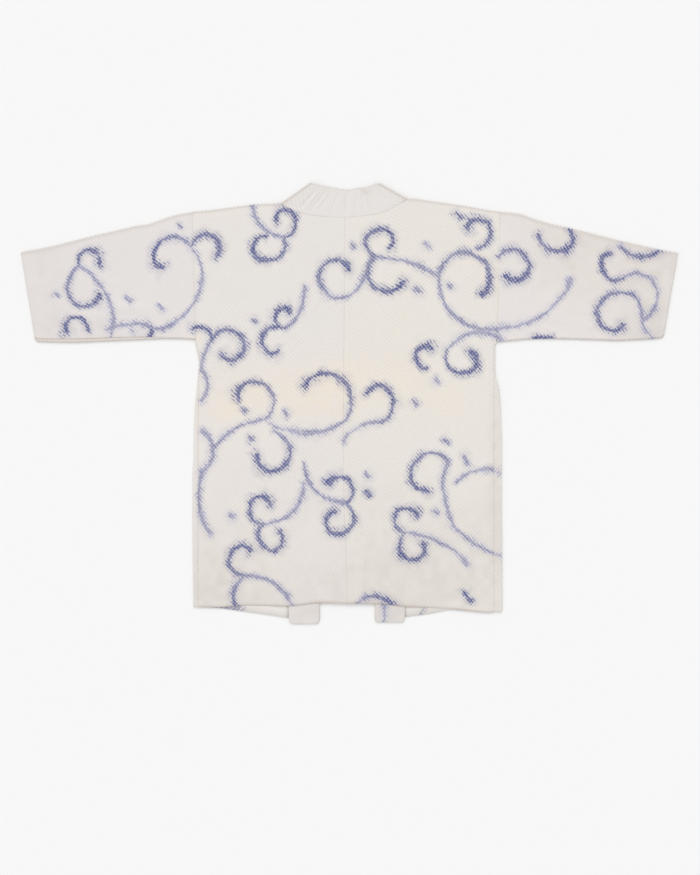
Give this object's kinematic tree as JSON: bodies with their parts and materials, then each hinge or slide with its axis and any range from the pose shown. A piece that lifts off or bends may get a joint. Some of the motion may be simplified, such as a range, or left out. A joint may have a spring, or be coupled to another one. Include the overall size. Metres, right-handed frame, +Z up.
{
  "type": "haori jacket",
  "caption": "Short-sleeved haori jacket of tie-dyed silk with a vine-scroll pattern, laid flat with its back up.",
  "frame": {"origin": "middle of the garment's underside, on the surface it lies on", "axes": "+X from cuff to cuff, towards the right-hand sleeve as seen from above; +Y from the hem towards the collar; +Z up, out of the back"},
  "size_m": [1.281, 0.859, 0.007],
  "materials": {
    "dyed_silk": "crimped dot-tied silk, ivory with lavender and indigo vine scrolls, matt",
    "dyed_silk_sleeve": "crimped dot-tied silk, slightly cooler ivory with lavender and indigo vine scrolls, matt",
    "collar_silk": "plain crimped silk, folded double, matt"
  },
  "bodies": {
    "root": {"body_left": "dyed_silk", "body_right": "dyed_silk", "sleeve_left": "dyed_silk_sleeve", "sleeve_right": "dyed_silk_sleeve", "machi_left": "dyed_silk", "machi_right": "dyed_silk", "collar": "collar_silk"}
  },
  "joints": []
}
